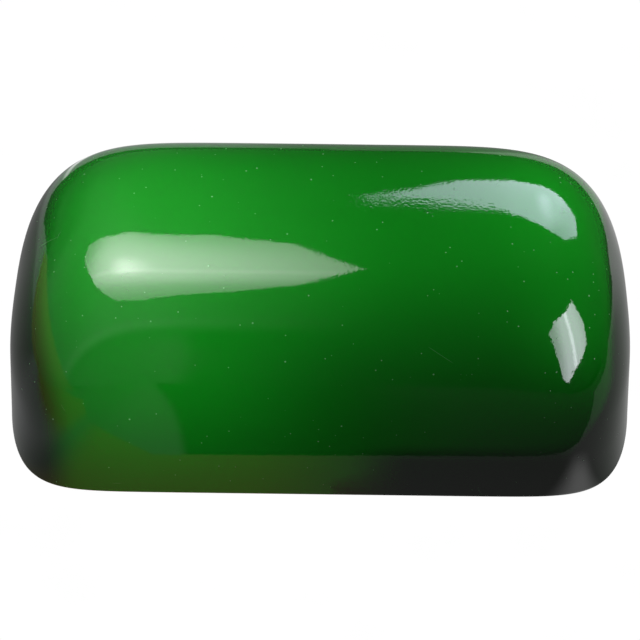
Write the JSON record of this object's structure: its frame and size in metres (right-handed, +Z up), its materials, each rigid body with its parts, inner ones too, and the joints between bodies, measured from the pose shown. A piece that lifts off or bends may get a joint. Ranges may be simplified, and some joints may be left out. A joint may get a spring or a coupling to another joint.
{
  "type": "desk lamp shade",
  "caption": "Elongated desk lamp shade in cased glass: a green casing over a white opal lining, with a rounded crown, steep walls and a flat open rim.",
  "frame": {"origin": "centre of the rim plane, which is the shade's lowest plane", "axes": "+X along the shade's length, +Y across its width, +Z up from the open rim to the crown"},
  "size_m": [0.225, 0.13, 0.08],
  "materials": {
    "green_glass": "gloss",
    "opal_glass": "gloss"
  },
  "bodies": {
    "root": {"green_casing": "green_glass", "opal_lining": "opal_glass"}
  },
  "joints": []
}
